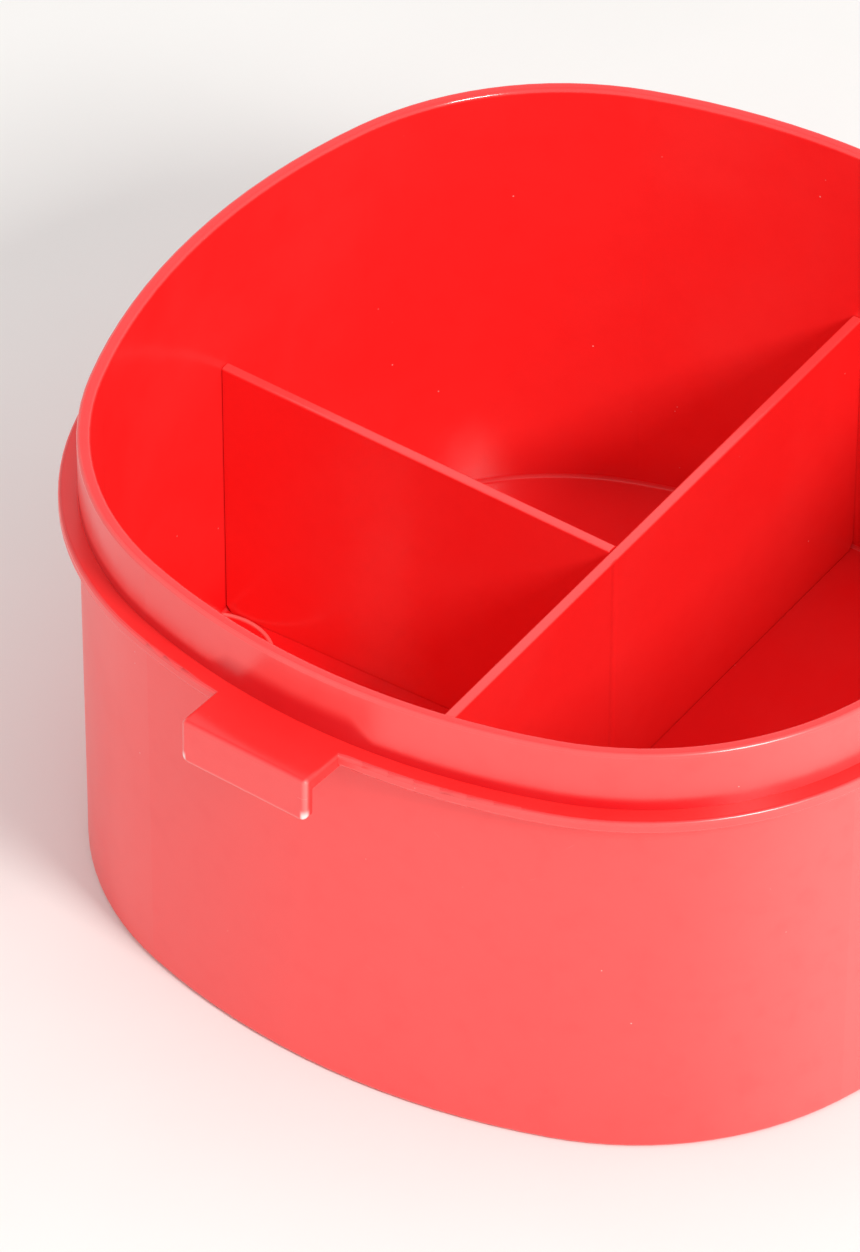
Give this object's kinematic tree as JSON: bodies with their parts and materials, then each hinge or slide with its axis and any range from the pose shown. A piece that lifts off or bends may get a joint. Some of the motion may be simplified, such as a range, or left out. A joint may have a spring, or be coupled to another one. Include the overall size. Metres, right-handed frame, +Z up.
{
  "type": "tool storage caddy",
  "caption": "Open round-cornered plastic tub with a stepped rim, hook-shaped catches and lift-out dividers that split it into compartments for small tools.",
  "frame": {"origin": "middle of the tub's underside, on the surface that it stands on", "axes": "+Z up out of the open mouth, +X along the long divider and through the two catches, +Y along the cross divider"},
  "size_m": [0.2062, 0.1872, 0.095],
  "materials": {
    "tub_plastic": "semi-gloss moulded polypropylene",
    "divider_plastic": "semi-gloss moulded polypropylene"
  },
  "bodies": {
    "tub": {"tub": "tub_plastic"},
    "long_divider": {"long_divider": "divider_plastic"},
    "cross_divider": {"cross_divider": "divider_plastic"}
  },
  "joints": [
    {"name": "long_divider_lift", "type": "slide", "parent": "tub", "child": "long_divider", "axis": [0, 0, 1], "range_m": [0, 0.1]},
    {"name": "cross_divider_lift", "type": "slide", "parent": "tub", "child": "cross_divider", "axis": [0, 0, 1], "range_m": [0, 0.1]}
  ]
}
